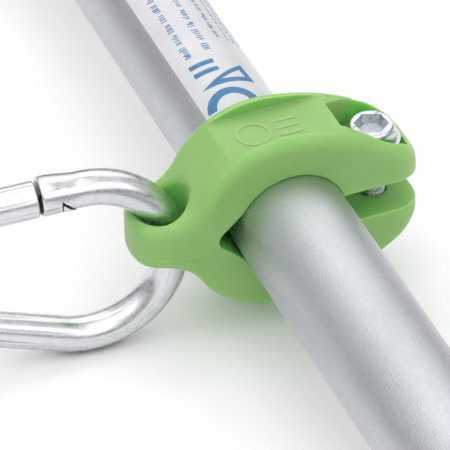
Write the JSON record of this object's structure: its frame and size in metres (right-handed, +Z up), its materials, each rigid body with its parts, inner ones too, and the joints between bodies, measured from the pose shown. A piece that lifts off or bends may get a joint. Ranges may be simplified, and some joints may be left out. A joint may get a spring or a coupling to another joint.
{
  "type": "tool tether clamp collar",
  "caption": "Split plastic clamp collar on a round aluminium tube, closed by a hex-socket screw, with a steel snap hook through its ear for a tool tether.",
  "frame": {"origin": "bottom centre of the bounding box, under the lowest point of the snap hook's eye", "axes": "+Y along the tube from its bare front end to its stickered rear, +X from the snap hook to the clamp screw, +Z up out of the pad and the screw head"},
  "size_m": [0.1853, 0.616, 0.0622],
  "materials": {
    "tube_aluminium": "bead-blasted satin",
    "sticker_film": "satin printed vinyl",
    "plug_plastic": "fine moulded texture",
    "collar_plastic": "satin moulded lime green",
    "screw_zinc": "bright zinc plate",
    "washer_zinc": "bright zinc plate",
    "nut_zinc": "bright zinc plate",
    "nylon_ring": "nylon",
    "hook_zinc": "bright zinc plate",
    "gate_zinc": "bright zinc plate",
    "rivet_steel": "peened steel",
    "spring_steel": "drawn wire"
  },
  "bodies": {
    "handle": {"tube": "tube_aluminium", "tube_sticker": "sticker_film", "front_plug": "plug_plastic", "rear_plug": "plug_plastic"},
    "clamp": {"collar": "collar_plastic", "screw_washer": "washer_zinc", "clamp_nut": "nut_zinc", "nut_lock_ring": "nylon_ring"},
    "screw": {"clamp_screw": "screw_zinc"},
    "snap_hook": {"hook_body": "hook_zinc", "hinge_rivet": "rivet_steel"},
    "gate": {"hook_gate": "gate_zinc", "gate_spring": "spring_steel"},
    "plunger": {"gate_plunger": "rivet_steel"}
  },
  "joints": [
    {"name": "collar_slide", "type": "slide", "parent": "handle", "child": "clamp", "axis": [0, 1, 0], "range_m": [-0.27, 0]},
    {"name": "clamp_screw_turn", "type": "hinge", "parent": "clamp", "child": "screw", "pos_m": [0.08111, 0, 0.03437], "axis": [0, 0, 1], "continuous": true},
    {"name": "hook_swing", "type": "hinge", "parent": "clamp", "child": "snap_hook", "pos_m": [0.01931, 0, 0.03437], "axis": [0, 0, 1], "range_deg": [-40, 45]},
    {"name": "gate_swing", "type": "hinge", "parent": "snap_hook", "child": "gate", "pos_m": [-0.07133, 0.00834, 0.05067], "axis": [0.087, 0.9948, -0.0523], "range_deg": [0, 25], "stiffness_Nm_per_rad": 0.6, "springref_deg": -28.65},
    {"name": "plunger_slide", "type": "slide", "parent": "gate", "child": "plunger", "axis": [0.9958, -0.0854, 0.0331], "range_m": [0, 0.0017], "deforming": ["gate_spring"]}
  ],
  "couplings": [
    {"joint": "plunger_slide", "follows": "gate_swing", "m_per_rad": 0.003667}
  ]
}
